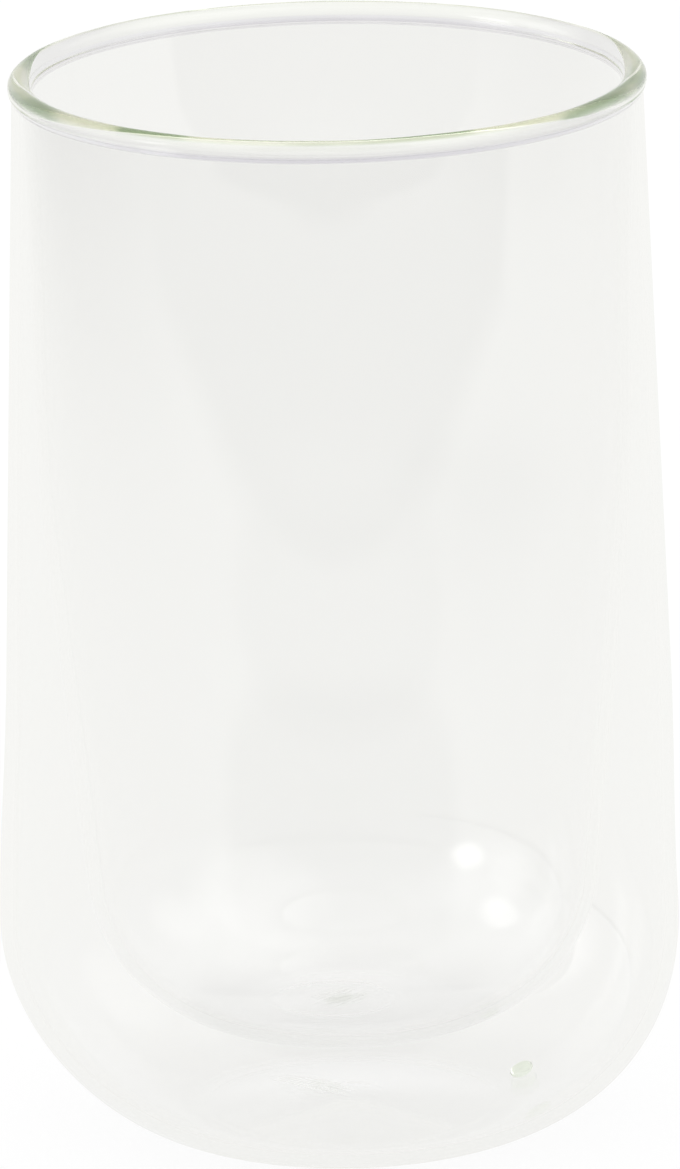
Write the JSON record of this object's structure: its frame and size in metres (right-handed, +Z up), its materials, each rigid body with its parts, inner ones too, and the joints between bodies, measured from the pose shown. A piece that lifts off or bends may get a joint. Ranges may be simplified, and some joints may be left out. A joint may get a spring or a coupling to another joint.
{
  "type": "double walled glass cup",
  "caption": "Tall double walled glass cup: an inner vessel fused to an outer vessel at a round rim bead, with a sealed air gap between the walls and a round heel on a narrow foot ring.",
  "frame": {"origin": "on the cup's axis, at the table plane that the foot ring stands on", "axes": "+Z up along the cup's axis to the mouth; -Y towards the picture's camera, +X to the right in the picture"},
  "size_m": [0.086, 0.086, 0.1367],
  "materials": {
    "outer_glass": "clear blown borosilicate glass",
    "inner_glass": "clear blown borosilicate glass",
    "rim_glass": "flame-polished bead, faintly yellow-green in its thickness",
    "seal_glass": "melted drop of clear glass"
  },
  "bodies": {
    "root": {"outer_vessel": "outer_glass", "inner_vessel": "inner_glass", "rim_bead": "rim_glass", "vent_seal": "seal_glass"}
  },
  "joints": []
}
